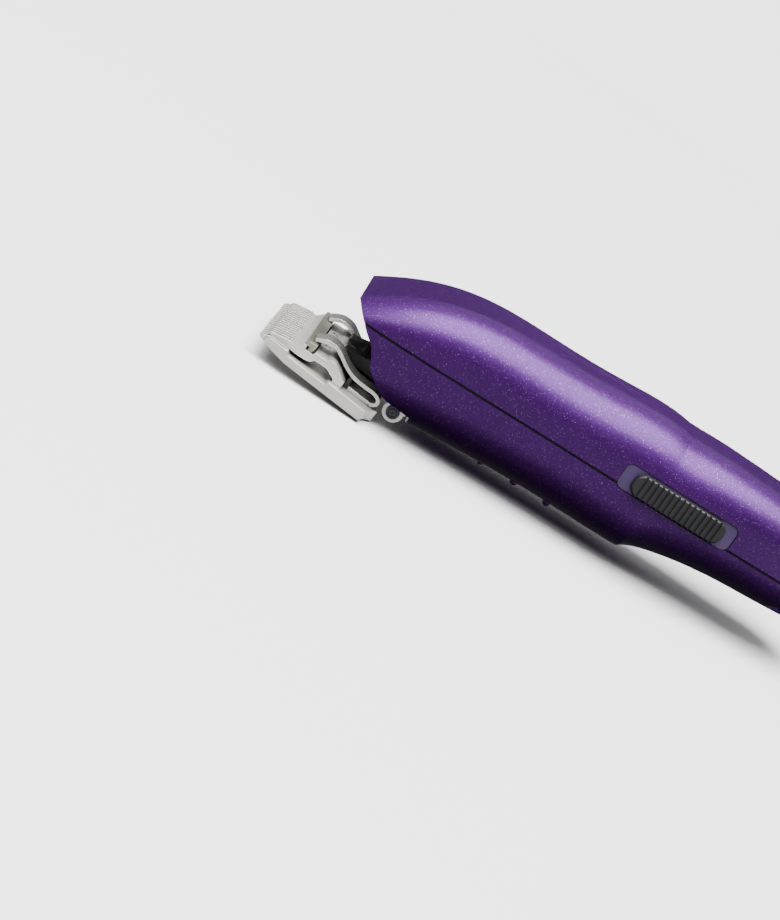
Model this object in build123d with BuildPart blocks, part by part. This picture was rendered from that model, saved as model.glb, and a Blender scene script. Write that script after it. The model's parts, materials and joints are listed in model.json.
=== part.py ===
from build123d import *
from math import cos, sin, radians, pi, hypot
import os

os.makedirs("parts", exist_ok=True)

# ---------------------------------------------------------------- driving dimensions (mm)
# +X runs to the rear of the handle, +Z is up, Z = 0 is the seam between the housing halves.
# The origin is the centre of the cord inlet mouth at the rear end.
LENGTH = 180.0
NOSE = -LENGTH
WALL = 2.2
SEAM_DEPTH = 0.9
SEAM_HALF = 0.4

# housing stations: distance from the nose, top, bottom, half width, corner radius
FRONT_STATIONS = [
    (0.0, 5.2, -22.2, 22.4, 9.0),
    (14.0, 12.8, -22.0, 23.8, 11.5),
    (32.0, 18.4, -21.5, 23.9, 13.5),
    (55.0, 20.1, -20.6, 23.0, 15.0),
    (80.0, 20.9, -20.2, 22.2, 15.5),
    (105.0, 21.2, -20.1, 21.5, 15.0),
]
REAR_STATIONS = [
    (105.0, 21.2, -20.1, 21.5, 15.0),
    (114.0, 21.2, -16.2, 21.1, 14.5),
    (126.0, 21.1, -13.7, 20.5, 13.5),
    (142.0, 20.6, -12.2, 19.5, 12.8),
    (156.0, 19.2, -11.5, 18.2, 12.2),
    (166.0, 16.8, -10.6, 16.6, 11.4),
    (171.5, 14.2, -9.4, 14.6, 10.4),
    (174.0, 11.8, -8.0, 12.6, 9.0),
]

# blade set: plan length runs rearward from the comb tips, heights from the comb top face
BLADE_TILT = 5.85
BLADE_WIDTH = 49.0
COMB_THICK = 3.6
COMB_LENGTH = 49.4
COMB_CORNER = 11.0
CUTTER_WIDTH = 43.0
TOOTH_PITCH = 2.45
PIN_ALONG = 45.4
PIN_ABOVE = 2.45
PIN_X = NOSE + 26.4
PIN_Z = -20.3

# head face that the blade set closes against
FACE_ANGLE = 46.0
FACE_X = NOSE + 22.1
FACE_Z = -18.4
CAP_DEPTH = 13.0
CAP_THICK = 2.0

# drive train
MOTOR_Z = 3.5
MOTOR_R = 13.5
MODULE = 0.5
PINION_TEETH = 12
GEAR_TEETH = 34
GEAR_Z = MOTOR_Z - MODULE * (PINION_TEETH + GEAR_TEETH) / 2
CRANK_OFFSET = 1.4
PIVOT_X = NOSE + 27.0
SHAFT_R = 1.6
GEAR_FRONT = 45.0
GEAR_REAR = 49.4
ARMATURE_SLOTS = 5

# drive tip, which stands square to the comb when the blade set is closed
CLOSED_ANGLE = 30.0
TIP_END_X = NOSE + 4.9
TIP_END_Z = -4.5

# grip ribs and thumb scoop
RIB_RADIUS = 1.5
RIB_Z = -19.7
SCOOP_DEPTH = 1.6
SCOOP_RADIUS = 31.0

# hinge and latch: pin radius, screws behind the nose, latch pin on the blade plane
HINGE_PIN_R = 1.6
HINGE_SCREW = 34.8
SOCKET_SCREWS = [(32.5, 5.2), (32.5, -5.2)]
LATCH_ALONG = 39.2
LATCH_ABOVE = 5.9

# switch on the -Y side
SWITCH_X = NOSE + 111.8
SWITCH_Z = 3.2
SWITCH_LONG = 31.4
SWITCH_HIGH = 7.3
SWITCH_Y = -19.9
SWITCH_SLANT = 2.9

ct, st = cos(radians(BLADE_TILT)), sin(radians(BLADE_TILT))
TIP_X = PIN_X - PIN_ALONG * ct - PIN_ABOVE * st
TIP_Z = PIN_Z + PIN_ALONG * st - PIN_ABOVE * ct
BLADE_SIDE = Plane(origin=(TIP_X, 0, TIP_Z), x_dir=(ct, 0, -st), z_dir=(0, -1, 0))
BLADE_TOP = Plane(origin=(TIP_X, 0, TIP_Z), x_dir=(ct, 0, -st), z_dir=(st, 0, ct))
PIN_SIDE = Plane(origin=(PIN_X, 0, PIN_Z), x_dir=(ct, 0, -st), z_dir=(0, -1, 0))

cf, sf = cos(radians(FACE_ANGLE)), sin(radians(FACE_ANGLE))
FACE_SIDE = Plane(origin=(FACE_X, 0, FACE_Z), x_dir=(cf, 0, -sf), z_dir=(0, -1, 0))
FACE_FRONT = Plane(origin=(FACE_X, 0, FACE_Z), x_dir=(0, 1, 0), z_dir=(-sf, 0, -cf))

cs, ss = cos(radians(SWITCH_SLANT)), sin(radians(SWITCH_SLANT))
SWITCH_FACE = Plane(origin=(SWITCH_X, SWITCH_Y, SWITCH_Z), x_dir=(cs, ss, 0), z_dir=(ss, -cs, 0))

# ---------------------------------------------------------------- shared forms


def at_nose(x):
    """X position of a point x millimetres behind the nose."""
    return NOSE + x


def loft_through(stations, inset):
    """Smooth tube through the stations, drawn in by the inset on every side."""
    with BuildPart() as form:
        for x, top, bottom, half, radius in stations:
            spot = Plane(origin=(at_nose(x), 0, (top + bottom) / 2), x_dir=(0, 1, 0), z_dir=(1, 0, 0))
            with BuildSketch(spot):
                RectangleRounded(
                    2 * (half - inset), top - bottom - 2 * inset, max(radius - inset, 2.0)
                )
        loft()
    return form.part


def outer_skin(inset):
    """Body of the handle with the crisp break under the belly, drawn in by the inset."""
    front = [list(station) for station in FRONT_STATIONS]
    rear = [list(station) for station in REAR_STATIONS]
    front[0][0] += inset
    rear[-1][0] -= inset
    return loft_through(front, inset) + loft_through(rear, inset)


def hollow_form(inset):
    """Inside of the shell: the same body drawn in by the inset, with no break."""
    stations = [list(station) for station in FRONT_STATIONS[:-1] + REAR_STATIONS[1:]]
    stations[0][0] += inset
    stations[-1][0] -= inset
    return loft_through(stations, inset)


def slab(x0, x1, y0, y1, z0, z1):
    """Box between two opposite corners."""
    with BuildPart() as block:
        with Locations(((x0 + x1) / 2, (y0 + y1) / 2, (z0 + z1) / 2)):
            Box(x1 - x0, y1 - y0, z1 - z0)
    return block.part


def side_solid(plane, points, y0, y1):
    """Side profile on an XZ-like plane carried from y0 to y1 across the tool."""
    with BuildPart() as solid:
        with BuildSketch(plane.offset(-y1)):
            Polygon(*points, align=None)
        extrude(amount=y1 - y0)
    return solid.part


def cross_bar(plane, along, above, radius, y0, y1):
    """Round bar lying across the tool."""
    with BuildPart() as bar:
        with BuildSketch(plane.offset(-y1)):
            with Locations((along, above)):
                Circle(radius)
        extrude(amount=y1 - y0)
    return bar.part


def axial_ring(x0, x1, z, outer, inner=0.0):
    """Disc or ring about an axis parallel to X."""
    with BuildPart() as ring:
        with BuildSketch(Plane(origin=(x0, 0, z), x_dir=(0, 1, 0), z_dir=(1, 0, 0))):
            Circle(outer)
            if inner > 0:
                Circle(inner, mode=Mode.SUBTRACT)
        extrude(amount=x1 - x0)
    return ring.part


def upright(x, y, z0, z1, radius, inner=0.0):
    """Upright round post."""
    with BuildPart() as post:
        with BuildSketch(Plane(origin=(x, y, z0))):
            Circle(radius)
            if inner > 0:
                Circle(inner, mode=Mode.SUBTRACT)
        extrude(amount=z1 - z0)
    return post.part


def ribbon(line, half):
    """Closed outline of a strip of even thickness along a bent line."""
    left, right = [], []
    for index, (x, y) in enumerate(line):
        before = line[max(index - 1, 0)]
        after = line[min(index + 1, len(line) - 1)]
        run = hypot(after[0] - before[0], after[1] - before[1])
        nx, ny = -(after[1] - before[1]) / run, (after[0] - before[0]) / run
        left.append((x + nx * half, y + ny * half))
        right.append((x - nx * half, y - ny * half))
    return left, right


def spur_gear(x0, x1, z, teeth, bore, first):
    """Spur gear about X with straight-sided teeth, first tooth centred on an angle."""
    pitch_r = MODULE * teeth / 2
    root_r = pitch_r - 0.62
    tip_r = pitch_r + 0.40
    points = []
    for tooth in range(teeth):
        centre = radians(first) + 2 * pi * tooth / teeth
        for radius, half in ((root_r, -0.42), (tip_r, -0.17), (tip_r, 0.17), (root_r, 0.42)):
            angle = centre + half / radius
            points.append((radius * cos(angle), radius * sin(angle)))
    with BuildPart() as gear:
        with BuildSketch(Plane(origin=(x0, 0, z), x_dir=(0, 1, 0), z_dir=(1, 0, 0))):
            Polygon(*points, align=None)
            if bore > 0:
                Circle(bore, mode=Mode.SUBTRACT)
        extrude(amount=x1 - x0)
    return gear.part


outer_form = outer_skin(0.0)
gasket_form = outer_skin(0.4)
seam_form = outer_skin(SEAM_DEPTH)
inner_form = hollow_form(WALL)
fitting_form = hollow_form(WALL + 0.15)

# region in front of the head face, removed from the housing
face_points = [
    (at_nose(-6), 4.2), (at_nose(0.4), 4.2), (at_nose(4.0), 0.9), (at_nose(7.0), -1.9),
    (at_nose(10.3), -4.6), (at_nose(12.0), -7.4), (at_nose(13.2), -10.2), (at_nose(16.9), -13.4),
    (at_nose(19.1), -15.1), (at_nose(21.5), -16.5), (at_nose(24.0), -17.0), (at_nose(27.0), -17.2),
    (at_nose(31.2), -18.0), (at_nose(31.2), -32), (at_nose(-6), -32),
]
face_cut = side_solid(Plane.XZ, face_points, -32, 32)
hinge_gap = slab(at_nose(20), at_nose(31.2), -16.6, 16.6, -32, -15.8)

# housing screws: distance behind the nose, side position, height of the seat under the head
SCREW_SPOTS = [(44.0, 13.0, -9.0), (44.0, -13.0, -9.0), (156.0, 12.0, -5.6), (156.0, -12.0, -5.6)]
BOSS_RADIUS = 3.4

# thin rim cut away from both halves to leave a shadow line
with BuildPart() as seam_tool:
    add(slab(at_nose(-10), 10, -40, 40, -SEAM_HALF, SEAM_HALF))
    add(seam_form, mode=Mode.SUBTRACT)

# recess in the side wall that takes the switch plate, and the bore for the cord bushing
with BuildPart() as switch_seat:
    with BuildSketch(SWITCH_FACE.offset(-0.15)):
        RectangleRounded(SWITCH_LONG + 8.0, SWITCH_HIGH + 1.3, 2.4)
    extrude(amount=6)
cord_bore = axial_ring(at_nose(165), at_nose(178), 0, 5.6)

# ---------------------------------------------------------------- housing halves
with BuildPart() as scoop_tool:
    with BuildSketch(Plane(origin=(at_nose(63), 0, 21.6 + SCOOP_RADIUS - SCOOP_DEPTH),
                           x_dir=(1, 0, 0), z_dir=(0, -1, 0))):
        with BuildLine():
            ThreePointArc((-42, -SCOOP_RADIUS + 4.2), (0, -SCOOP_RADIUS), (42, -SCOOP_RADIUS + 4.2))
            Line((42, -SCOOP_RADIUS + 4.2), (42, 0))
            Line((42, 0), (-42, 0))
            Line((-42, 0), (-42, -SCOOP_RADIUS + 4.2))
        make_face()
    revolve(axis=Axis((at_nose(63), 0, 21.6 + SCOOP_RADIUS - SCOOP_DEPTH), (1, 0, 0)))

with BuildPart() as upper_housing:
    add(outer_form)
    add(inner_form, mode=Mode.SUBTRACT)
    add(slab(at_nose(-10), 10, -40, 40, -40, 0), mode=Mode.SUBTRACT)
    # screw bosses reach up to the roof
    for x, y, seat in SCREW_SPOTS:
        add(upright(at_nose(x), y, 0, 30, BOSS_RADIUS))
    add(outer_form, mode=Mode.INTERSECT)
    for x, y, seat in SCREW_SPOTS:
        add(upright(at_nose(x), y, -1, 9, 1.45), mode=Mode.SUBTRACT)
    add(face_cut, mode=Mode.SUBTRACT)
    add(scoop_tool.part, mode=Mode.SUBTRACT)
    add(seam_tool.part, mode=Mode.SUBTRACT)
    add(cord_bore, mode=Mode.SUBTRACT)
    # seat for the switch plate and the slot for its stem
    add(switch_seat.part, mode=Mode.SUBTRACT)
    with BuildSketch(SWITCH_FACE.offset(-6)):
        SlotOverall(13.0, 4.0)
    extrude(amount=8, mode=Mode.SUBTRACT)
upper_housing.part.label = "upper_housing"
export_step(upper_housing.part, "parts/upper_housing.step")

with BuildPart() as lower_bosses:
    for x, y, seat in SCREW_SPOTS:
        add(upright(at_nose(x), y, -30, 0, BOSS_RADIUS))
    add(outer_form, mode=Mode.INTERSECT)

with BuildPart() as lower_housing:
    add(outer_form)
    # three grip ribs under the belly
    for x in (56.9, 68.8, 80.6):
        add(cross_bar(Plane.XZ, at_nose(x), RIB_Z, RIB_RADIUS, -9.5, 9.5))
        with Locations((at_nose(x), -9.5, RIB_Z), (at_nose(x), 9.5, RIB_Z)):
            Sphere(RIB_RADIUS)
    add(inner_form, mode=Mode.SUBTRACT)
    add(slab(at_nose(-10), 10, -40, 40, 0, 40), mode=Mode.SUBTRACT)
    add(lower_bosses.part)
    # counterbored screw passages
    for x, y, seat in SCREW_SPOTS:
        add(upright(at_nose(x), y, -30, 1, 1.6), mode=Mode.SUBTRACT)
        add(upright(at_nose(x), y, -30, seat, 2.6), mode=Mode.SUBTRACT)
    add(face_cut, mode=Mode.SUBTRACT)
    add(hinge_gap, mode=Mode.SUBTRACT)
    add(seam_tool.part, mode=Mode.SUBTRACT)
    add(cord_bore, mode=Mode.SUBTRACT)
    add(switch_seat.part, mode=Mode.SUBTRACT)
    for y in (-11.0, 11.0):
        add(upright(at_nose(HINGE_SCREW), y, -30, -15, 1.3), mode=Mode.SUBTRACT)
lower_housing.part.label = "lower_housing"
export_step(lower_housing.part, "parts/lower_housing.step")

with BuildPart() as seam_gasket:
    add(slab(at_nose(-10), 10, -40, 40, -SEAM_HALF + 0.02, SEAM_HALF - 0.02))
    add(gasket_form, mode=Mode.INTERSECT)
    add(seam_form, mode=Mode.SUBTRACT)
    add(face_cut, mode=Mode.SUBTRACT)
    add(cord_bore, mode=Mode.SUBTRACT)
    add(switch_seat.part, mode=Mode.SUBTRACT)
seam_gasket.part.label = "seam_gasket"
export_step(seam_gasket.part, "parts/seam_gasket.step")

with BuildPart() as housing_screws:
    for x, y, seat in SCREW_SPOTS:
        add(upright(at_nose(x), y, seat - 2.2, seat - 0.05, 2.5))
        add(upright(at_nose(x), y, seat - 1.0, 8.5, 1.4))
        add(slab(at_nose(x) - 1.8, at_nose(x) + 1.8, y - 0.4, y + 0.4, seat - 3.0, seat - 1.5),
            mode=Mode.SUBTRACT)
housing_screws.part.label = "housing_screws"
export_step(housing_screws.part, "parts/housing_screws.step")

with BuildPart() as cord_inlet_bushing:
    add(axial_ring(at_nose(168.0), 0, 0, 5.5))
    for x in (175.2, 176.9):
        add(axial_ring(at_nose(x), at_nose(x + 0.8), 0, 7, 4.7), mode=Mode.SUBTRACT)
    add(axial_ring(at_nose(168.5), at_nose(169.6), 0, 6.6))
    add(axial_ring(at_nose(160), 5, 0, 3.2), mode=Mode.SUBTRACT)
cord_inlet_bushing.part.label = "cord_inlet_bushing"
export_step(cord_inlet_bushing.part, "parts/cord_inlet_bushing.step")

# ---------------------------------------------------------------- switch
with BuildPart() as switch_plate:
    with BuildSketch(SWITCH_FACE):
        RectangleRounded(SWITCH_LONG + 7.7, SWITCH_HIGH + 1.0, 2.25)
    extrude(amount=0.9)
    with BuildSketch(SWITCH_FACE):
        SlotOverall(12.6, 3.6)
    extrude(amount=0.9, mode=Mode.SUBTRACT)
switch_plate.part.label = "switch_plate"
export_step(switch_plate.part, "parts/switch_plate.step")

with BuildPart() as switch_slider:
    with BuildSketch(SWITCH_FACE.offset(1.1)):
        RectangleRounded(SWITCH_LONG, SWITCH_HIGH, 3.0)
    extrude(amount=2.3)
    fillet(switch_slider.edges().group_by(Axis(SWITCH_FACE.origin, SWITCH_FACE.z_dir))[-1], 0.7)
    # finger grooves
    for rib in range(15):
        with BuildSketch(SWITCH_FACE.offset(2.7)):
            with Locations((-12.95 + 1.85 * rib, 0)):
                Rectangle(0.75, 9)
        extrude(amount=1, mode=Mode.SUBTRACT)
    # stem through the housing wall
    with BuildSketch(SWITCH_FACE.offset(-4.6)):
        RectangleRounded(5.2, 2.8, 0.6)
    extrude(amount=5.8)
switch_slider.part.label = "switch_slider"
export_step(switch_slider.part, "parts/switch_slider.step")

with BuildPart() as switch_body:
    with BuildSketch(SWITCH_FACE.offset(-10.5)):
        Rectangle(18, 9)
    extrude(amount=7.9)
    with BuildSketch(SWITCH_FACE.offset(-5.2)):
        Rectangle(12.6, 3.6)
    extrude(amount=4, mode=Mode.SUBTRACT)
    # solder tags
    for tag in (-6, 0, 6):
        with BuildSketch(SWITCH_FACE.offset(-12.4)):
            with Locations((tag, 0)):
                Rectangle(1.6, 0.6)
        extrude(amount=2.1)
switch_body.part.label = "switch_body"
export_step(switch_body.part, "parts/switch_body.step")

# ---------------------------------------------------------------- head: drive cap and hinge
lever_slot = slab(at_nose(4), at_nose(26), -5.4, 5.4, 1.8, 8.0)
with BuildPart() as drive_cap:
    with BuildSketch(FACE_SIDE.offset(-30)):
        with Locations((0, CAP_DEPTH + CAP_THICK / 2)):
            Rectangle(90, CAP_THICK)
    extrude(amount=60)
    add(slab(at_nose(24.6), at_nose(33.0), -8, 8, -3.0, 1.6))
    add(fitting_form, mode=Mode.INTERSECT)
    add(slab(at_nose(-5), at_nose(60), -30, 30, -40, -15.6), mode=Mode.SUBTRACT)
    add(lever_slot, mode=Mode.SUBTRACT)
    # room for the front screw bosses
    for x, y, seat in SCREW_SPOTS[:2]:
        add(upright(at_nose(x), y, -20, 20, BOSS_RADIUS + 0.25), mode=Mode.SUBTRACT)
    add(upright(PIVOT_X, 0, -2.0, 3, 2.0), mode=Mode.SUBTRACT)
    for y in (-14, 14):
        with BuildSketch(FACE_FRONT.offset(-CAP_DEPTH - 5)):
            with Locations((y, -14.0)):
                Circle(1.2)
        extrude(amount=8, mode=Mode.SUBTRACT)
drive_cap.part.label = "drive_cap"
export_step(drive_cap.part, "parts/drive_cap.step")

with BuildPart() as drive_cap_screws:
    for y in (-14, 14):
        with BuildSketch(FACE_FRONT.offset(-CAP_DEPTH + 0.05)):
            with Locations((y, -14.0)):
                Circle(2.2)
        extrude(amount=1.3)
        with BuildSketch(FACE_FRONT.offset(-CAP_DEPTH - 4)):
            with Locations((y, -14.0)):
                Circle(1.15)
        extrude(amount=4.3)
        with BuildSketch(FACE_FRONT.offset(-CAP_DEPTH + 0.9)):
            with Locations((y, -14.0)):
                Rectangle(3.2, 0.6)
                Rectangle(0.6, 3.2)
        extrude(amount=1, mode=Mode.SUBTRACT)
drive_cap_screws.part.label = "drive_cap_screws"
export_step(drive_cap_screws.part, "parts/drive_cap_screws.step")

with BuildPart() as lever_pivot_pin:
    add(upright(PIVOT_X, 0, -1.9, 7.4, 2.0))
    add(upright(PIVOT_X, 0, 6.7, 7.7, 3.2))
lever_pivot_pin.part.label = "lever_pivot_pin"
export_step(lever_pivot_pin.part, "parts/lever_pivot_pin.step")

EAR_PLATE = Plane(origin=(PIN_X, 0, PIN_Z), x_dir=(1, 0, 0), z_dir=(0, -1, 0))
EAR_THICK = 1.8


def ear_pair(tail, low, high):
    """Both hinge ears, each an eye round the pin with a tail that runs back to the foot plate."""
    with BuildPart() as ears:
        for side in (-1, 1):
            with BuildSketch(EAR_PLATE.offset(side * 14.0 - EAR_THICK / 2)):
                Circle(3.3)
                Polygon((0.4, 3.27), (-0.6, -3.24), (tail, low), (tail, high), align=None)
            extrude(amount=EAR_THICK)
    return ears.part


with BuildPart() as hinge_bracket:
    add(ear_pair(5.6, 1.4, 3.0))
    add(slab(at_nose(31.4), at_nose(34.8), -14.9, 14.9, -19.0, -17.3))
    add(slab(at_nose(31.4), at_nose(38.0), -13.4, 13.4, -19.0, -17.3))
    add(fitting_form, mode=Mode.INTERSECT)
    add(ear_pair(4.65, 1.66, 3.05))
    add(cross_bar(PIN_SIDE, 0, 0, HINGE_PIN_R, -20, 20), mode=Mode.SUBTRACT)
    for y in (-11.0, 11.0):
        add(upright(at_nose(HINGE_SCREW), y, -22, -15, 1.25), mode=Mode.SUBTRACT)
hinge_bracket.part.label = "hinge_bracket"
export_step(hinge_bracket.part, "parts/hinge_bracket.step")

with BuildPart() as hinge_screws:
    for y in (-11.0, 11.0):
        add(upright(at_nose(HINGE_SCREW), y, -21.0, -16.4, 1.2))
        add(upright(at_nose(HINGE_SCREW), y, -17.25, -15.8, 2.3))
        add(slab(at_nose(31), at_nose(39), y - 0.35, y + 0.35, -16.4, -15), mode=Mode.SUBTRACT)
hinge_screws.part.label = "hinge_screws"
export_step(hinge_screws.part, "parts/hinge_screws.step")

with BuildPart() as hinge_pin:
    add(cross_bar(PIN_SIDE, 0, 0, HINGE_PIN_R, -15.9, 15.9))
    for y in (-15.9, 15.0):
        add(cross_bar(PIN_SIDE, 0, 0, 2.1, y, y + 0.9))
    chamfer(hinge_pin.edges().group_by(Axis.Y)[0], 0.2)
    chamfer(hinge_pin.edges().group_by(Axis.Y)[-1], 0.2)
    # ring groove and centre dimple on both heads
    for y in (-16.1, 15.6):
        with BuildSketch(PIN_SIDE.offset(-y - 0.5)):
            Circle(1.5)
            Circle(1.1, mode=Mode.SUBTRACT)
            Circle(0.45)
        extrude(amount=0.5, mode=Mode.SUBTRACT)
hinge_pin.part.label = "hinge_pin"
export_step(hinge_pin.part, "parts/hinge_pin.step")

# ---------------------------------------------------------------- motor and gears
with BuildPart() as gear_plate:
    add(slab(at_nose(51), at_nose(53.4), -21, 21, -19, 18.5))
    add(fitting_form, mode=Mode.INTERSECT)
    add(axial_ring(at_nose(45), at_nose(60), MOTOR_Z, 5.0), mode=Mode.SUBTRACT)
    add(axial_ring(at_nose(45), at_nose(60), GEAR_Z, 1.5), mode=Mode.SUBTRACT)
    add(slab(at_nose(45), at_nose(60), -14.6, -12.2, -12.6, -9.2), mode=Mode.SUBTRACT)
gear_plate.part.label = "gear_plate"
export_step(gear_plate.part, "parts/gear_plate.step")

with BuildPart() as motor_can:
    add(axial_ring(at_nose(55.4), at_nose(100), MOTOR_Z, MOTOR_R, MOTOR_R - 1.0))
    add(axial_ring(at_nose(55.4), at_nose(56.6), MOTOR_Z, MOTOR_R - 0.5, 4.9))
    add(axial_ring(at_nose(53.5), at_nose(55.4), MOTOR_Z, 4.9, 3.6))
    add(axial_ring(at_nose(55.4), at_nose(56.6), MOTOR_Z, 4.95, 3.6))
    for x in (62, 92):
        add(axial_ring(at_nose(x), at_nose(x + 1.2), MOTOR_Z, 16, MOTOR_R - 0.3),
            mode=Mode.SUBTRACT)
motor_can.part.label = "motor_can"
export_step(motor_can.part, "parts/motor_can.step")

with BuildPart() as motor_magnets:
    add(axial_ring(at_nose(61), at_nose(88), MOTOR_Z, 12.45, 10.2))
    # gap between the two half rings
    add(slab(at_nose(60), at_nose(89), -16, 16, MOTOR_Z - 1.6, MOTOR_Z + 1.6), mode=Mode.SUBTRACT)
motor_magnets.part.label = "motor_magnets"
export_step(motor_magnets.part, "parts/motor_magnets.step")

with BuildPart() as front_bearing:
    add(axial_ring(at_nose(53.6), at_nose(56.6), MOTOR_Z, 3.55, SHAFT_R + 0.05))
front_bearing.part.label = "front_bearing"
export_step(front_bearing.part, "parts/front_bearing.step")

with BuildPart() as rear_bearing:
    add(axial_ring(at_nose(101.5), at_nose(104.5), MOTOR_Z, 3.55, SHAFT_R + 0.05))
rear_bearing.part.label = "rear_bearing"
export_step(rear_bearing.part, "parts/rear_bearing.step")

with BuildPart() as motor_end_cap:
    add(axial_ring(at_nose(100.05), at_nose(102.0), MOTOR_Z, MOTOR_R, 3.6))
    add(axial_ring(at_nose(102.0), at_nose(104.8), MOTOR_Z, 5.4, 3.6))
    add(axial_ring(at_nose(97.0), at_nose(100.1), MOTOR_Z, 12.4, 11.2))
    # brush carriers
    for side in (-1, 1):
        add(slab(at_nose(92.5), at_nose(100.2), side * 8.0 - 3.6, side * 8.0 + 3.6,
                 MOTOR_Z - 2.6, MOTOR_Z + 2.6))
        add(slab(at_nose(93.4), at_nose(97.4), side * 8.0 - 5, side * 8.0 + 5,
                 MOTOR_Z - 1.55, MOTOR_Z + 1.55), mode=Mode.SUBTRACT)
motor_end_cap.part.label = "motor_end_cap"
export_step(motor_end_cap.part, "parts/motor_end_cap.step")

with BuildPart() as carbon_brushes:
    for side in (-1, 1):
        add(slab(at_nose(93.5), at_nose(97.3), side * 6.3 - 2.2, side * 6.3 + 2.2,
                 MOTOR_Z - 1.5, MOTOR_Z + 1.5))
    add(axial_ring(at_nose(90), at_nose(99), MOTOR_Z, 4.4), mode=Mode.SUBTRACT)
carbon_brushes.part.label = "carbon_brushes"
export_step(carbon_brushes.part, "parts/carbon_brushes.step")

with BuildPart() as brush_springs:
    for side in (-1, 1):
        for turn in range(4):
            spot = Plane(origin=(at_nose(95.4), side * (8.85 + 0.75 * turn), MOTOR_Z),
                         x_dir=(1, 0, 0), z_dir=(0, 1, 0))
            with Locations(spot):
                Torus(1.15, 0.26)
        add(slab(at_nose(95.2), at_nose(95.6), side * 10.0 - 1.2, side * 10.0 + 1.2,
                 MOTOR_Z + 1.05, MOTOR_Z + 1.3))
brush_springs.part.label = "brush_springs"
export_step(brush_springs.part, "parts/brush_springs.step")

with BuildPart() as armature_shaft:
    add(axial_ring(at_nose(44.6), at_nose(108.5), MOTOR_Z, SHAFT_R))
armature_shaft.part.label = "armature_shaft"
export_step(armature_shaft.part, "parts/armature_shaft.step")

with BuildPart() as armature_core:
    add(axial_ring(at_nose(63), at_nose(86), MOTOR_Z, 9.7, SHAFT_R))
    with BuildSketch(Plane(origin=(at_nose(62), 0, MOTOR_Z), x_dir=(0, 1, 0), z_dir=(1, 0, 0))):
        with PolarLocations(8.6, ARMATURE_SLOTS):
            Rectangle(3.2, 1.6)
        with PolarLocations(6.0, ARMATURE_SLOTS):
            Rectangle(4.0, 5.0)
    extrude(amount=26, mode=Mode.SUBTRACT)
armature_core.part.label = "armature_core"
export_step(armature_core.part, "parts/armature_core.step")

with BuildPart() as armature_windings:
    with BuildSketch(Plane(origin=(at_nose(60.5), 0, MOTOR_Z), x_dir=(0, 1, 0), z_dir=(1, 0, 0))):
        with PolarLocations(6.0, ARMATURE_SLOTS):
            RectangleRounded(3.6, 4.6, 0.6)
    extrude(amount=28)
    add(axial_ring(at_nose(60.0), at_nose(62.9), MOTOR_Z, 7.9, 2.4))
    add(axial_ring(at_nose(86.1), at_nose(89.0), MOTOR_Z, 7.9, 2.4))
armature_windings.part.label = "armature_windings"
export_step(armature_windings.part, "parts/armature_windings.step")

with BuildPart() as commutator:
    add(axial_ring(at_nose(91), at_nose(98.5), MOTOR_Z, 4.3, SHAFT_R))
    with BuildSketch(Plane(origin=(at_nose(90), 0, MOTOR_Z), x_dir=(0, 1, 0), z_dir=(1, 0, 0))):
        with PolarLocations(4.3, 10):
            Rectangle(1.2, 0.35)
    extrude(amount=10, mode=Mode.SUBTRACT)
commutator.part.label = "commutator"
export_step(commutator.part, "parts/commutator.step")

with BuildPart() as cooling_fan:
    add(axial_ring(at_nose(105.2), at_nose(108.2), MOTOR_Z, 3.0, SHAFT_R))
    with BuildSketch(Plane(origin=(at_nose(105.2), 0, MOTOR_Z), x_dir=(0, 1, 0), z_dir=(1, 0, 0))):
        with PolarLocations(4.4, 7):
            Rectangle(4.4, 0.8)
    extrude(amount=3.0)
    add(axial_ring(at_nose(105.2), at_nose(105.8), MOTOR_Z, 6.4, 2.0))
cooling_fan.part.label = "cooling_fan"
export_step(cooling_fan.part, "parts/cooling_fan.step")

with BuildPart() as pinion_gear:
    add(spur_gear(at_nose(GEAR_FRONT), at_nose(GEAR_REAR), MOTOR_Z, PINION_TEETH, SHAFT_R, -90))
pinion_gear.part.label = "pinion_gear"
export_step(pinion_gear.part, "parts/pinion_gear.step")

with BuildPart() as drive_gear:
    add(spur_gear(at_nose(GEAR_FRONT), at_nose(GEAR_REAR), GEAR_Z, GEAR_TEETH, 0, 90 + 180 / GEAR_TEETH))
    add(axial_ring(at_nose(46.4), at_nose(52), GEAR_Z, 1.56), mode=Mode.SUBTRACT)
    add(axial_ring(at_nose(47.4), at_nose(52), GEAR_Z, 6.6, 3.0), mode=Mode.SUBTRACT)
    with BuildSketch(Plane(origin=(at_nose(40), 0, GEAR_Z), x_dir=(0, 1, 0), z_dir=(1, 0, 0))):
        with Locations((CRANK_OFFSET, 0)):
            Circle(1.25)
    extrude(amount=6.0, mode=Mode.SUBTRACT)
drive_gear.part.label = "drive_gear"
export_step(drive_gear.part, "parts/drive_gear.step")

with BuildPart() as crank_pin:
    with BuildSketch(Plane(origin=(at_nose(40.4), 0, GEAR_Z), x_dir=(0, 1, 0), z_dir=(1, 0, 0))):
        with Locations((CRANK_OFFSET, 0)):
            Circle(1.25)
    extrude(amount=5.5)
crank_pin.part.label = "crank_pin"
export_step(crank_pin.part, "parts/crank_pin.step")

with BuildPart() as gear_axle:
    add(axial_ring(at_nose(46.6), at_nose(54.4), GEAR_Z, 1.5))
gear_axle.part.label = "gear_axle"
export_step(gear_axle.part, "parts/gear_axle.step")

# ---------------------------------------------------------------- drive lever
cc, sc = cos(radians(BLADE_TILT + CLOSED_ANGLE)), sin(radians(BLADE_TILT + CLOSED_ANGLE))


def tip_plane(up):
    """Plane square to the drive tip, a height above its free end."""
    return Plane(origin=(TIP_END_X + sc * up, 0, TIP_END_Z + cc * up),
                 x_dir=(0, 1, 0), z_dir=(sc, 0, cc))


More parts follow.
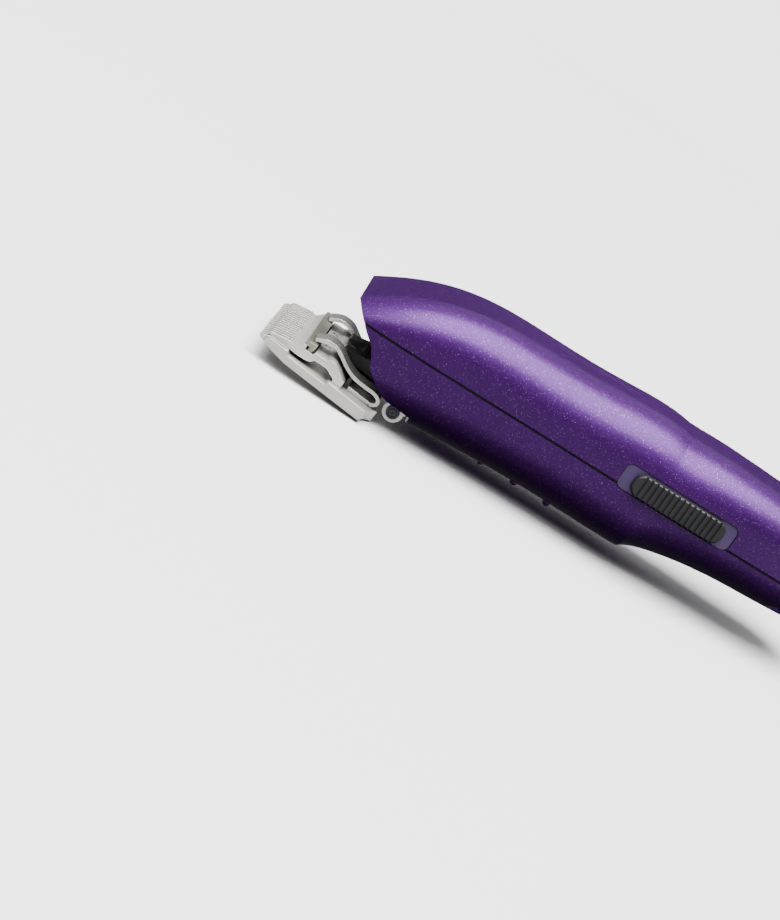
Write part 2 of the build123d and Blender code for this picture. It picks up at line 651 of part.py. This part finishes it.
with BuildPart() as drive_lever:
    add(slab(at_nose(9.6), at_nose(43.4), -2.9, 2.9, 3.6, 6.2))
    add(upright(PIVOT_X, 0, 3.6, 6.2, 4.6))
    # fork that straddles the crank pin
    add(slab(at_nose(40.6), at_nose(43.4), -6.6, 6.6, -12.6, 6.2))
    add(slab(at_nose(40), at_nose(44), -4.05, 4.05, -14, -3.4), mode=Mode.SUBTRACT)
    add(upright(PIVOT_X, 0, 0, 9, 2.05), mode=Mode.SUBTRACT)
    with BuildSketch(tip_plane(0.8)):
        Circle(1.3)
    extrude(amount=10.6)
drive_lever.part.label = "drive_lever"
export_step(drive_lever.part, "parts/drive_lever.step")

with BuildPart() as drive_tip:
    with BuildSketch(tip_plane(0)):
        Circle(2.0)
    extrude(amount=7.0)
    chamfer(drive_tip.edges().group_by(Axis((0, 0, 0), (sc, 0, cc)))[0], 0.3)
    with BuildSketch(tip_plane(0.8)):
        Circle(1.3)
    extrude(amount=9, mode=Mode.SUBTRACT)
drive_tip.part.label = "drive_tip"
export_step(drive_tip.part, "parts/drive_tip.step")

# ---------------------------------------------------------------- circuit board
board_low, board_high = -7.2, -5.6
with BuildPart() as circuit_board:
    add(slab(at_nose(122), at_nose(158), -8.4, 8.4, board_low, board_high))
    for x in (124, 146):
        for y in (-6.9, 6.9):
            add(upright(at_nose(x), y, -8, -5, 0.9), mode=Mode.SUBTRACT)
circuit_board.part.label = "circuit_board"
export_step(circuit_board.part, "parts/circuit_board.step")

with BuildPart() as board_components:
    for x, y in ((130.5, -4), (130.5, 4)):
        add(upright(at_nose(x), y, board_high, 2.4, 3.1))
    add(slab(at_nose(137), at_nose(144), -6.5, 6.5, board_high, -1.0))
    add(slab(at_nose(147), at_nose(150), -6, 6, board_high, 2.0))
    for y in (-5, -1.7, 1.7, 5):
        add(slab(at_nose(152), at_nose(155.5), y - 0.9, y + 0.9, board_high, -4.2))
board_components.part.label = "board_components"
export_step(board_components.part, "parts/board_components.step")

with BuildPart() as terminal_block:
    add(slab(at_nose(156.0), at_nose(161.5), -7.8, 7.8, board_high, 0.2))
    for y in (-5.2, 0, 5.2):
        add(slab(at_nose(158), at_nose(162), y - 1.5, y + 1.5, -4.2, -1.4), mode=Mode.SUBTRACT)
terminal_block.part.label = "terminal_block"
export_step(terminal_block.part, "parts/terminal_block.step")

# ---------------------------------------------------------------- blade set
blade_half = BLADE_WIDTH / 2
corner_half = blade_half - COMB_CORNER
corner_start = COMB_LENGTH - COMB_CORNER
comb_profile = [
    (0.0, -1.3), (3.2, 0.0), (9.5, 0.0), (10.4, -1.1), (23.6, -1.1), (24.5, 0.0),
    (COMB_LENGTH, 0.0), (COMB_LENGTH, -2.9), (COMB_LENGTH - 0.7, -COMB_THICK),
    (10.8, -COMB_THICK), (6.3, -2.95), (0.0, -1.9),
]
with BuildPart() as comb:
    with BuildSketch(BLADE_SIDE.offset(-blade_half)):
        Polygon(*comb_profile, align=None)
    extrude(amount=BLADE_WIDTH)
    # rounded rear corners and slightly clipped front corners
    with BuildSketch(BLADE_TOP.offset(-6)):
        Rectangle(200, 200)
        with BuildLine():
            Polyline((-2, 20), (-2, -20), (1.2, -blade_half + 1.4), (3.0, -blade_half))
            Line((3.0, -blade_half), (corner_start, -blade_half))
            RadiusArc((corner_start, -blade_half), (COMB_LENGTH, -corner_half), COMB_CORNER)
            Line((COMB_LENGTH, -corner_half), (COMB_LENGTH, corner_half))
            RadiusArc((COMB_LENGTH, corner_half), (corner_start, blade_half), COMB_CORNER)
            Line((corner_start, blade_half), (3.0, blade_half))
            Polyline((3.0, blade_half), (1.2, blade_half - 1.4), (-2, 20))
        make_face(mode=Mode.SUBTRACT)
    extrude(amount=10, mode=Mode.SUBTRACT)
    # teeth
    for tooth in range(-9, 11):
        with BuildSketch(BLADE_TOP.offset(-6)):
            with Locations((3.2, TOOTH_PITCH * (tooth - 0.5))):
                SlotOverall(11.0, 1.1)
        extrude(amount=8, mode=Mode.SUBTRACT)
    # hinge clearance at the rear and screw holes
    with BuildSketch(BLADE_TOP.offset(-6)):
        with Locations((46.0, 0)):
            RectangleRounded(10.0, 33.6, 1.0)
        with Locations(*SOCKET_SCREWS):
            Circle(1.45)
    extrude(amount=8, mode=Mode.SUBTRACT)
    with BuildSketch(BLADE_TOP.offset(-6)):
        with Locations(*SOCKET_SCREWS):
            Circle(2.6)
    extrude(amount=3.9, mode=Mode.SUBTRACT)
comb.part.label = "comb"
export_step(comb.part, "parts/comb.step")

cutter_profile = [
    (1.8, 0.03), (2.4, 0.9), (8.6, 2.3), (10.1, 1.9), (11.2, 3.1), (12.1, 4.1), (13.0, 4.1),
    (13.2, 2.9), (15.9, 2.9), (16.3, 3.9), (20.0, 4.2), (21.2, 5.2), (23.1, 5.1), (25.2, 4.1),
    (28.3, 2.0), (28.3, 0.03), (25.3, 0.03), (24.9, 1.0), (23.3, 1.7), (21.9, 2.3), (18.4, 2.2),
    (17.4, 1.9), (16.8, 1.0), (15.6, 0.5), (12.6, 0.03),
]
with BuildPart() as cutter:
    with BuildSketch(BLADE_SIDE.offset(-CUTTER_WIDTH / 2)):
        Polygon(*cutter_profile, align=None)
    extrude(amount=CUTTER_WIDTH)
    for tooth in range(-8, 9):
        with BuildSketch(BLADE_TOP.offset(-1)):
            with Locations((4.3, TOOTH_PITCH * tooth)):
                SlotOverall(9.4, 1.0)
        extrude(amount=8, mode=Mode.SUBTRACT)
    # drive slot, open to the rear
    with BuildSketch(BLADE_TOP.offset(-1)):
        with Locations((26.2, 0)):
            Rectangle(20.0, 4.4)
    extrude(amount=10, mode=Mode.SUBTRACT)
    # oval lightening pockets
    with BuildSketch(BLADE_TOP.offset(3.6)):
        with Locations((18.4, 8.4), (18.4, -8.4)):
            Ellipse(1.2, 2.6)
    extrude(amount=4, mode=Mode.SUBTRACT)
cutter.part.label = "cutter"
export_step(cutter.part, "parts/cutter.step")

with BuildPart() as blade_guide:
    with BuildSketch(BLADE_TOP.offset(3.0)):
        with Locations((14.55, 0)):
            RectangleRounded(2.3, 42.0, 1.0)
    extrude(amount=2.6)
    with BuildSketch(BLADE_TOP.offset(4.2)):
        with Locations((14.0, 0)):
            RectangleRounded(3.4, 42.0, 1.2)
    extrude(amount=1.4)
blade_guide.part.label = "blade_guide"
export_step(blade_guide.part, "parts/blade_guide.step")

strap_line = [
    (14.0, 6.2), (15.6, 7.2), (17.2, 8.0), (19.2, 8.3), (21.3, 8.0), (23.5, 6.9), (25.4, 5.8),
    (27.8, 4.8), (30.5, 4.2), (33.0, 4.1), (36.0, 4.2), (38.2, 4.0), (39.6, 3.2), (40.0, 2.2),
    (39.4, 1.2), (38.2, 0.65),
]
with BuildPart() as tension_spring:
    for side in (-1, 1):
        upper_edge, lower_edge = ribbon(strap_line, 0.55)
        with BuildSketch(BLADE_SIDE.offset(side * 14.5 - 3.5)):
            with BuildLine():
                Spline(*upper_edge)
                Spline(*lower_edge)
                Line(upper_edge[0], lower_edge[0])
                Line(upper_edge[-1], lower_edge[-1])
            make_face()
        extrude(amount=7.0)
    with BuildSketch(BLADE_TOP.offset(0.05)):
        with Locations((34.2, 0)):
            RectangleRounded(8.4, 36.0, 0.5)
        with Locations(*SOCKET_SCREWS):
            Circle(1.45, mode=Mode.SUBTRACT)
    extrude(amount=1.2)
tension_spring.part.label = "tension_spring"
export_step(tension_spring.part, "parts/tension_spring.step")

with BuildPart() as cutter_stop:
    add(side_solid(BLADE_SIDE, [(28.75, 0.03), (29.85, 0.03), (29.85, 3.2), (29.3, 3.7),
                                (28.75, 3.2)], -17.6, 17.6))
cutter_stop.part.label = "cutter_stop"
export_step(cutter_stop.part, "parts/cutter_stop.step")

with BuildPart() as blade_socket:
    with BuildSketch(Plane(origin=BLADE_TOP.origin, x_dir=(0, 1, 0),
                           z_dir=(ct, 0, -st)).offset(30.2)):
        Polygon((-10.4, 1.3), (10.4, 1.3), (10.4, 4.1), (7.2, 4.1), (7.2, 3.4), (9.4, 3.4),
                (9.4, 1.95), (-9.4, 1.95), (-9.4, 3.4), (-7.2, 3.4), (-7.2, 4.1), (-10.4, 4.1),
                align=None)
    extrude(amount=9.2)
    with BuildSketch(BLADE_TOP.offset(-1)):
        with Locations(*SOCKET_SCREWS):
            Circle(1.4)
    extrude(amount=3.5, mode=Mode.SUBTRACT)
blade_socket.part.label = "blade_socket"
export_step(blade_socket.part, "parts/blade_socket.step")

with BuildPart() as socket_screws:
    with BuildSketch(BLADE_TOP.offset(-3.5)):
        with Locations(*SOCKET_SCREWS):
            Circle(2.4)
    extrude(amount=1.3)
    with BuildSketch(BLADE_TOP.offset(-3.0)):
        with Locations(*SOCKET_SCREWS):
            Circle(1.4)
    extrude(amount=4.9)
    with BuildSketch(BLADE_TOP.offset(-4)):
        with Locations(*SOCKET_SCREWS):
            Rectangle(0.6, 4.0)
    extrude(amount=1, mode=Mode.SUBTRACT)
socket_screws.part.label = "socket_screws"
export_step(socket_screws.part, "parts/socket_screws.step")

# ---------------------------------------------------------------- hinge tongue and latch
with BuildPart() as hinge_tongue:
    add(side_solid(BLADE_SIDE, [(30.6, 2.05), (43.5, 2.05), (43.5, 3.25), (30.6, 3.25)], -9.1, 9.1))
    add(cross_bar(PIN_SIDE, 0, 0, 3.1, -12.7, 12.7))
    add(cross_bar(PIN_SIDE, 0, 0, HINGE_PIN_R + 0.06, -14, 14), mode=Mode.SUBTRACT)
    # lugs for the latch
    for side in (-1, 1):
        add(side_solid(BLADE_SIDE, [(36.6, 3.2), (41.8, 3.2), (40.8, 7.2), (37.9, 7.2)],
                       side * 3.5 - 0.8, side * 3.5 + 0.8))
    add(cross_bar(BLADE_SIDE, LATCH_ALONG, LATCH_ABOVE, 1.0, -5, 5), mode=Mode.SUBTRACT)
hinge_tongue.part.label = "hinge_tongue"
export_step(hinge_tongue.part, "parts/hinge_tongue.step")

with BuildPart() as latch_pin:
    add(cross_bar(BLADE_SIDE, LATCH_ALONG, LATCH_ABOVE, 1.0, -7.4, 7.4))
latch_pin.part.label = "latch_pin"
export_step(latch_pin.part, "parts/latch_pin.step")

latch_profile = [
    (43.0, 6.4), (42.0, 8.8), (37.0, 9.6), (32.5, 9.6), (29.5, 9.3), (26.0, 8.4), (22.7, 7.5),
    (22.4, 6.3), (25.5, 5.9), (27.4, 4.7), (37.0, 4.7), (41.0, 4.7),
]
latch_bridge = [(26.5, 6.9), (36.0, 7.9), (41.0, 7.9), (41.0, 8.8), (33.0, 9.3), (28.0, 8.9)]
with BuildPart() as latch_lever:
    for side in (-1, 1):
        add(side_solid(BLADE_SIDE, latch_profile, side * 7.4 - 2.6, side * 7.4 + 2.6))
    add(side_solid(BLADE_SIDE, latch_bridge, -6, 6))
    # clearance over the socket lips, then the pin holes
    add(side_solid(BLADE_SIDE, [(29.0, 4.0), (44.0, 4.0), (44.0, 5.1), (29.0, 5.1)], -12, 12),
        mode=Mode.SUBTRACT)
    add(cross_bar(BLADE_SIDE, LATCH_ALONG, LATCH_ABOVE, 1.05, -12, 12), mode=Mode.SUBTRACT)
    # finger grooves along the top
    for along in (29.0, 31.0, 33.0, 35.0):
        add(side_solid(BLADE_SIDE, [(along, 9.0), (along + 0.8, 9.0), (along + 0.8, 10), (along, 10)],
                       -11, 11), mode=Mode.SUBTRACT)
latch_lever.part.label = "latch_lever"
export_step(latch_lever.part, "parts/latch_lever.step")

with BuildPart() as latch_spring:
    for turn in range(6):
        spot = Plane(origin=BLADE_SIDE.from_local_coords((LATCH_ALONG, LATCH_ABOVE, 0)),
                     x_dir=(1, 0, 0), z_dir=(0, 1, 0)).offset(-2.1 + 0.8 * turn)
        with Locations(spot):
            Torus(1.55, 0.3)
    add(side_solid(BLADE_SIDE, [(37.6, 3.35), (38.2, 3.35), (38.2, 6.3), (37.6, 6.3)], -2.3, 2.3))
latch_spring.part.label = "latch_spring"
export_step(latch_spring.part, "parts/latch_spring.step")
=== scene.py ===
"""Electric pet clipper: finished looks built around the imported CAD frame."""

import json

import bpy
from mathutils import Matrix, Vector


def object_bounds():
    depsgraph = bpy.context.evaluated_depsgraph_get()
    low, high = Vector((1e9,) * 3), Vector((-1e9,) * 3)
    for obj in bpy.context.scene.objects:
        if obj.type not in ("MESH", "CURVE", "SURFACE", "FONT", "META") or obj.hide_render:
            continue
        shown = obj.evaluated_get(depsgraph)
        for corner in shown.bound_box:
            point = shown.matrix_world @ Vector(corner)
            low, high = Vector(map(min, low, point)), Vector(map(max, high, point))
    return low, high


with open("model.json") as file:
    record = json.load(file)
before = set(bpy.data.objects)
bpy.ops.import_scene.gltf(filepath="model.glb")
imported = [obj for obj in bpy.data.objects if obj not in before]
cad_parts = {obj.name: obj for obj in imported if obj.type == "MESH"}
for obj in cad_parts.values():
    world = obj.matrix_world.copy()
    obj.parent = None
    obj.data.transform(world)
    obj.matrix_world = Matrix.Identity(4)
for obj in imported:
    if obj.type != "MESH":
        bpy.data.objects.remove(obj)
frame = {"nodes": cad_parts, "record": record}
cad_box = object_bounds()
nodes = frame["nodes"]

# wear and grain, then painted shade in crevices, in metres
STEEL_EDGE = 0.00018
MOULDED_EDGE = 0.00025
CREVICE_REACH = 0.0035
CREVICE_SHADE = 0.12
# paint: base colours from dark to light, then (cells per metre, share left plain, tone) of each flake
PAINT_DARK = (0.040, 0.0026, 0.088)
PAINT_LIGHT = (0.052, 0.0036, 0.110)
FLAKES = (
    (7400.0, 0.82, (0.14, 0.07, 0.20)),
    (5400.0, 0.93, (0.80, 0.52, 0.90)),
)
# floor, in metres
FLOOR_SIZE = 60.0
FLOOR_CELLS = 60
FLOOR_GAP = 0.0006
FLAT_RADIUS = 2.0
FLOOR_RISE = 0.07
# brightness of the surround from straight down (0) through the horizon (0.5) to overhead (1)
SKY_BANDS = ((0.0, 0.02), (0.18, 0.04), (0.34, 0.44), (0.46, 0.46), (0.50, 0.05), (0.56, 0.01),
             (0.70, 0.02), (0.84, 0.34), (1.0, 0.46))
SKY_STRENGTH = 2.4
PANEL_SCALE = 2.6
# lights
SUN_STRENGTH = 9.5
SUN_ANGLE = 0.95
SUN_FROM = Vector((0.02, -0.30, 1.0))
KEY_POWER = 3.0
KEY_SIZE = 0.35
KEY_AT = Vector((-0.45, -0.60, 0.55))
KEY_AIM = Vector((-0.105, 0.0, 0.0))
# camera
LENS = 70.43
SENSOR_WIDTH = 36.0
CAMERA_AT = Vector((-0.1812, -0.5311, 0.1256))
CAMERA_RIGHT = Vector((0.8445, 0.1049, 0.5252))
CAMERA_UP = Vector((-0.5317, 0.2819, 0.7986))
CAMERA_FORWARD = Vector((0.0643, 0.9537, -0.2938))


# ---------------------------------------------------------------- material helpers
class Nodes:
    """Small wrapper that adds nodes and links to one material."""

    def __init__(self, name):
        self.material = bpy.data.materials.new(name)
        self.material.use_nodes = True
        self.tree = self.material.node_tree
        self.shader = self.tree.nodes["Principled BSDF"]
        self.place = self.add("ShaderNodeTexCoord").outputs["Object"]

    def add(self, kind, **settings):
        node = self.tree.nodes.new(kind)
        for key, value in settings.items():
            if hasattr(node, key):
                setattr(node, key, value)
            else:
                node.inputs[key.replace("_", " ")].default_value = value
        return node

    def link(self, source, target):
        self.tree.links.new(source, target)

    def set(self, **values):
        for key, value in values.items():
            self.shader.inputs[key.replace("_", " ")].default_value = value

    def stretched(self, scale):
        node = self.add("ShaderNodeMapping")
        node.inputs["Scale"].default_value = scale
        self.link(self.place, node.inputs["Vector"])
        return node.outputs["Vector"]

    def noise(self, scale, detail=3.0, rough=0.5, vector=None):
        node = self.add("ShaderNodeTexNoise", Scale=scale, Detail=detail, Roughness=rough)
        self.link(vector or self.place, node.inputs["Vector"])
        return node.outputs["Fac"]

    def cells(self, scale, output="Color"):
        node = self.add("ShaderNodeTexVoronoi", Scale=scale)
        self.link(self.place, node.inputs["Vector"])
        return node.outputs[output]

    def ramp(self, source, stops):
        node = self.add("ShaderNodeValToRGB")
        band = node.color_ramp
        while len(band.elements) < len(stops):
            band.elements.new(0.5)
        for element, (position, colour) in zip(band.elements, stops):
            element.position = position
            element.color = (*colour, 1.0)
        self.link(source, node.inputs["Fac"])
        return node.outputs["Color"]

    def remap(self, source, low, high, start=0.0, stop=1.0):
        node = self.add("ShaderNodeMapRange")
        node.inputs["From Min"].default_value = start
        node.inputs["From Max"].default_value = stop
        node.inputs["To Min"].default_value = low
        node.inputs["To Max"].default_value = high
        self.link(source, node.inputs["Value"])
        return node.outputs["Result"]

    def bump(self, height, distance, strength=1.0, normal=None):
        node = self.add("ShaderNodeBump", Strength=strength, Distance=distance)
        self.link(height, node.inputs["Height"])
        if normal is not None:
            self.link(normal, node.inputs["Normal"])
        return node.outputs["Normal"]

    def soft_edge(self, radius):
        """Normal that rounds every sharp edge by the radius."""
        return self.add("ShaderNodeBevel", Radius=radius, samples=6).outputs["Normal"]

    def painted_crevice_shade(self, colour):
        """Paint shade into a colour: darken it where surfaces crowd each other."""
        near = self.add("ShaderNodeAmbientOcclusion", Distance=CREVICE_REACH, samples=8)
        shade = self.ramp(near.outputs["AO"], [(0.15, grey(CREVICE_SHADE)), (0.85, grey(1.0))])
        mix = self.add("ShaderNodeMix", data_type="RGBA", blend_type="MULTIPLY")
        mix.inputs["Factor"].default_value = 1.0
        self.link(colour, mix.inputs["A"])
        self.link(shade, mix.inputs["B"])
        return mix.outputs["Result"]

    def to(self, source, socket):
        self.link(source, self.shader.inputs[socket])


def grey(value):
    return (value, value, value)


def flake_paint():
    """Deep violet metallic paint with fine pink and silver flakes under a thin clear coat."""
    m = Nodes("purple_flake_paint")
    m.set(Metallic=0.60, Coat_Weight=0.34, Coat_Roughness=0.30, Specular_IOR_Level=0.1)
    cloud = m.noise(30.0, 4.0, 0.6)
    total = m.ramp(cloud, [(0.30, PAINT_DARK), (0.72, PAINT_LIGHT)])
    # two sizes of flake, most of them too small to see one by one
    for scale, rarity, tone in FLAKES:
        level = m.add("ShaderNodeSeparateColor")
        m.link(m.cells(scale), level.inputs["Color"])
        round_flake = m.remap(m.cells(scale, "Distance"), 1.0, 0.0, 0.14, 0.36)
        spark = m.ramp(level.outputs["Red"], [
            (0.0, grey(0.0)), (rarity, grey(0.0)), (rarity + 0.02, tone), (1.0, tone),
        ])
        mix = m.add("ShaderNodeMix", data_type="RGBA", blend_type="ADD")
        m.link(round_flake, mix.inputs["Factor"])
        m.link(total, mix.inputs["A"])
        m.link(spark, mix.inputs["B"])
        total = mix.outputs["Result"]
    m.to(total, "Base Color")
    fine = m.add("ShaderNodeSeparateColor")
    m.link(m.cells(2800.0), fine.inputs["Color"])
    m.to(m.remap(fine.outputs["Green"], 0.32, 0.50), "Roughness")
    m.to(m.bump(fine.outputs["Blue"], 0.00003, 0.35), "Normal")
    m.to(m.bump(m.noise(520.0, 2.0), 0.00004, 0.2), "Coat Normal")
    return m.material


def steel(name, tone, rough, grain=(40.0, 900.0, 900.0), stain=0.10, metal=1.0):
    """Ground or plated steel with fine grain lines and soft blotches; metal below 1 looks satin."""
    m = Nodes(name)
    m.set(Metallic=metal)
    lines = m.noise(1.0, 5.0, 0.65, m.stretched(grain))
    blot = m.noise(95.0, 4.0, 0.6)
    dark = tuple(c * (1.0 - stain) for c in tone)
    surface = m.ramp(blot, [(0.28, dark), (0.70, tone)])
    # painted shade: the steel colour is darkened in crevices between parts
    m.to(m.painted_crevice_shade(surface), "Base Color")
    wear = m.add("ShaderNodeMath", operation="ADD")
    m.link(m.remap(lines, -0.10, 0.10), wear.inputs[0])
    m.link(m.remap(blot, rough - 0.05, rough + 0.07), wear.inputs[1])
    m.to(wear.outputs["Value"], "Roughness")
    m.to(m.bump(lines, 0.00003, 0.35, m.soft_edge(STEEL_EDGE)), "Normal")
    return m.material


def moulded(name, tone, rough, texture=900.0, depth=0.00005, spec=0.5):
    """Moulded plastic or rubber with a fine spark-eroded surface."""
    m = Nodes(name)
    m.set(Specular_IOR_Level=spec)
    blot = m.noise(60.0, 3.0)
    light = tuple(min(c * 1.35 + 0.002, 1.0) for c in tone)
    m.to(m.ramp(blot, [(0.30, tone), (0.75, light)]), "Base Color")
    m.to(m.remap(m.noise(300.0, 4.0), rough - 0.08, rough + 0.10), "Roughness")
    m.to(m.bump(m.cells(texture, "Distance"), depth, 0.6, m.soft_edge(MOULDED_EDGE)), "Normal")
    return m.material


def wound_copper():
    """Enamelled copper wire seen as fine parallel turns."""
    m = Nodes("enamelled_copper")
    m.set(Metallic=1.0, Roughness=0.30)
    wave = m.add("ShaderNodeTexWave", Scale=320.0, Distortion=0.6)
    m.link(m.place, wave.inputs["Vector"])
    m.to(m.ramp(wave.outputs["Fac"], [(0.1, (0.22, 0.07, 0.03)), (0.8, (0.66, 0.27, 0.11))]),
         "Base Color")
    m.to(m.bump(wave.outputs["Fac"], 0.0001, 0.8), "Normal")
    return m.material


def solder_mask():
    """Green circuit board with faint copper runs below the lacquer."""
    m = Nodes("green_solder_mask")
    m.set(Roughness=0.32, Coat_Weight=0.3)
    runs = m.add("ShaderNodeTexBrick", Scale=120.0, offset=0.5)
    m.link(m.place, runs.inputs["Vector"])
    m.to(m.ramp(runs.outputs["Fac"], [(0.3, (0.008, 0.10, 0.04)), (0.7, (0.02, 0.19, 0.08))]),
         "Base Color")
    m.to(m.bump(runs.outputs["Fac"], 0.00004, 0.5), "Normal")
    return m.material


MATERIALS = {
    "purple_paint": flake_paint(),
    "lilac_plastic": moulded("lilac_plastic", (0.040, 0.022, 0.075), 0.34, 1200.0, 0.00002),
    "black_plastic": moulded("black_plastic", (0.010, 0.010, 0.011), 0.42, spec=0.45),
    "black_rubber": moulded("black_rubber", (0.005, 0.005, 0.006), 0.66, spec=0.25),
    "grey_plastic": moulded("grey_plastic", (0.10, 0.10, 0.11), 0.50),
    "white_nylon": moulded("white_nylon", (0.66, 0.65, 0.60), 0.42, 700.0, 0.00003),
    "blade_steel": steel("blade_steel", (0.93, 0.91, 0.88), 0.32, metal=0.72),
    "guide_steel": steel("guide_steel", (0.50, 0.50, 0.42), 0.42, (900.0, 40.0, 900.0)),
    "spring_steel": steel("spring_steel", (0.86, 0.85, 0.82), 0.22, metal=0.85),
    "plated_steel": steel("plated_steel", (0.80, 0.80, 0.78), 0.26),
    "dark_steel": steel("dark_steel", (0.10, 0.10, 0.11), 0.36, (700.0, 60.0, 700.0)),
    "screw_steel": steel("screw_steel", (0.46, 0.46, 0.47), 0.32, (700.0, 700.0, 60.0)),
    "bronze": steel("sintered_bronze", (0.50, 0.33, 0.14), 0.44, (800.0, 800.0, 800.0), 0.25),
    "ferrite": moulded("ferrite", (0.035, 0.035, 0.038), 0.66, 1600.0),
    "iron_core": steel("laminated_iron", (0.20, 0.20, 0.21), 0.48, (1500.0, 60.0, 60.0), 0.3),
    "copper_wire": wound_copper(),
    "green_board": solder_mask(),
    "component_body": moulded("component_body", (0.05, 0.05, 0.065), 0.36),
}

slot_of = {part["node"]: part["material_slot"] for part in frame["record"]["subparts"]}
for name, node in nodes.items():
    node.data.materials.clear()
    node.data.materials.append(MATERIALS[slot_of[name]])


# ---------------------------------------------------------------- studio
def pale_floor():
    """Wide pale floor under the lowest point; its far part climbs so that no horizon shows."""
    low = cad_box[0]
    bpy.ops.mesh.primitive_grid_add(x_subdivisions=FLOOR_CELLS, y_subdivisions=FLOOR_CELLS, size=FLOOR_SIZE)
    floor = bpy.context.object
    for corner in floor.data.vertices:
        corner.co.z = FLOOR_RISE * max(0.0, corner.co.xy.length - FLAT_RADIUS)
    floor.name = "studio_floor"
    floor.location = (0.0, 0.0, low[2] - FLOOR_GAP)
    m = Nodes("pale_floor")
    m.to(m.ramp(m.noise(3.0, 2.0), [(0.0, grey(0.94)), (1.0, grey(0.97))]), "Base Color")
    m.set(Roughness=0.8)
    m.to(m.bump(m.noise(60.0), 0.0004, 0.05), "Normal")
    floor.data.materials.append(m.material)
    floor.visible_glossy = False
    floor.visible_diffuse = False


def surround():
    """Banded sky with soft panels and gaps, so that metal has something to mirror."""
    world = bpy.data.worlds.new("studio_world")
    bpy.context.scene.world = world
    world.use_nodes = True
    tree = world.node_tree
    background = tree.nodes["Background"]
    background.inputs["Strength"].default_value = SKY_STRENGTH
    way = tree.nodes.new("ShaderNodeTexCoord")
    split = tree.nodes.new("ShaderNodeSeparateXYZ")
    height = tree.nodes.new("ShaderNodeMapRange")
    height.inputs["From Min"].default_value = -1.0
    sky = tree.nodes.new("ShaderNodeValToRGB")
    for position, value in SKY_BANDS[1:-1]:
        sky.color_ramp.elements.new(position)
    for band, (position, value) in zip(sky.color_ramp.elements, SKY_BANDS):
        band.position = position
        band.color = (value, value, value, 1.0)
    tree.links.new(way.outputs["Generated"], split.inputs["Vector"])
    tree.links.new(split.outputs["Z"], height.inputs["Value"])
    tree.links.new(height.outputs["Result"], sky.inputs["Fac"])
    panels = tree.nodes.new("ShaderNodeTexNoise")
    panels.inputs["Scale"].default_value = PANEL_SCALE
    contrast = tree.nodes.new("ShaderNodeMapRange")
    contrast.inputs["From Min"].default_value = 0.38
    contrast.inputs["From Max"].default_value = 0.62
    contrast.inputs["To Min"].default_value = 0.25
    contrast.inputs["To Max"].default_value = 1.75
    lit = tree.nodes.new("ShaderNodeVectorMath")
    lit.operation = "SCALE"
    tree.links.new(way.outputs["Generated"], panels.inputs["Vector"])
    tree.links.new(panels.outputs["Fac"], contrast.inputs["Value"])
    tree.links.new(sky.outputs["Color"], lit.inputs[0])
    tree.links.new(contrast.outputs["Result"], lit.inputs["Scale"])
    tree.links.new(lit.outputs["Vector"], background.inputs["Color"])


def lights():
    """A soft sun overhead and one square light near the camera."""
    data = bpy.data.lights.new("sun_light", "SUN")
    data.energy = SUN_STRENGTH
    data.angle = SUN_ANGLE
    lamp = bpy.data.objects.new("sun_light", data)
    bpy.context.collection.objects.link(lamp)
    lamp.rotation_euler = SUN_FROM.to_track_quat("Z", "Y").to_euler()

    data = bpy.data.lights.new("key_light", "AREA")
    data.energy = KEY_POWER
    data.size = KEY_SIZE
    lamp = bpy.data.objects.new("key_light", data)
    bpy.context.collection.objects.link(lamp)
    lamp.location = KEY_AT
    lamp.rotation_euler = (KEY_AIM - KEY_AT).to_track_quat("-Z", "Y").to_euler()


def camera():
    """Near side view from a little above, rolled so the handle climbs to the left."""
    spin = Matrix((CAMERA_RIGHT, CAMERA_UP, -CAMERA_FORWARD)).transposed()
    data = bpy.data.cameras.new("photo_camera")
    data.lens = LENS
    data.sensor_width = SENSOR_WIDTH
    eye = bpy.data.objects.new("photo_camera", data)
    bpy.context.collection.objects.link(eye)
    eye.matrix_world = Matrix.Translation(CAMERA_AT) @ spin.to_4x4()
    bpy.context.scene.camera = eye


pale_floor()
surround()
lights()
camera()
